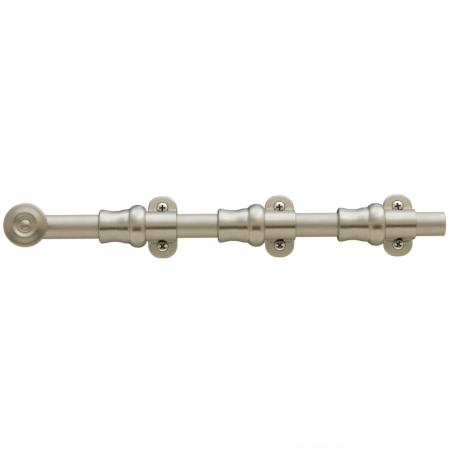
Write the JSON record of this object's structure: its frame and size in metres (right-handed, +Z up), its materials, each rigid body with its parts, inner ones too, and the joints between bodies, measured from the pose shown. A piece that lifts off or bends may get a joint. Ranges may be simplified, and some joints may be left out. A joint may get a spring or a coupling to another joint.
{
  "type": "surface bolt",
  "caption": "Surface-mounted sliding door bolt: round rod with a rosette knob, carried by turned guides with round-ended screw flanges.",
  "frame": {"origin": "on the door face, at the middle of the middle guide's flange back: on its screw line and level with the rod's axis", "axes": "+X along the rod from the knob towards the tip, +Y into the door, +Z up between the two screws of a guide"},
  "size_m": [0.2874, 0.0551, 0.0414],
  "materials": {
    "satin_nickel": "solid brass, satin nickel plated, finely brushed",
    "bright_nickel": "bright nickel plated wood screw",
    "zinc_steel": "zinc plated steel",
    "spring_steel": "oiled spring wire",
    "white_nylon": "natural nylon"
  },
  "bodies": {
    "guides": {"guide_knob_end": "satin_nickel", "guide_middle": "satin_nickel", "guide_tip_end": "satin_nickel", "wood_screw_knob_end_upper": "bright_nickel", "wood_screw_knob_end_lower": "bright_nickel", "wood_screw_middle_upper": "bright_nickel", "wood_screw_middle_lower": "bright_nickel", "wood_screw_tip_end_upper": "bright_nickel", "wood_screw_tip_end_lower": "bright_nickel", "friction_grub_screw_knob_end": "zinc_steel", "friction_grub_screw_tip_end": "zinc_steel", "friction_spring_knob_end": "spring_steel", "friction_spring_tip_end": "spring_steel", "limit_pin": "zinc_steel"},
    "bolt": {"bolt_rod": "satin_nickel", "rosette_knob": "satin_nickel", "knob_screw": "zinc_steel", "knob_lock_washer": "zinc_steel"},
    "pad_knob_end": {"friction_pad_knob_end": "white_nylon"},
    "pad_tip_end": {"friction_pad_tip_end": "white_nylon"}
  },
  "joints": [
    {"name": "bolt_slide", "type": "slide", "parent": "guides", "child": "bolt", "axis": [1, 0, 0], "range_m": [-0.0195, 0.0186]},
    {"name": "pad_knob_end_slide", "type": "slide", "parent": "guides", "child": "pad_knob_end", "axis": [0, 1, 0], "range_m": [0, 0.0004], "deforming": ["friction_spring_knob_end"]},
    {"name": "pad_tip_end_slide", "type": "slide", "parent": "guides", "child": "pad_tip_end", "axis": [0, 1, 0], "range_m": [0, 0.0004], "deforming": ["friction_spring_tip_end"]}
  ]
}
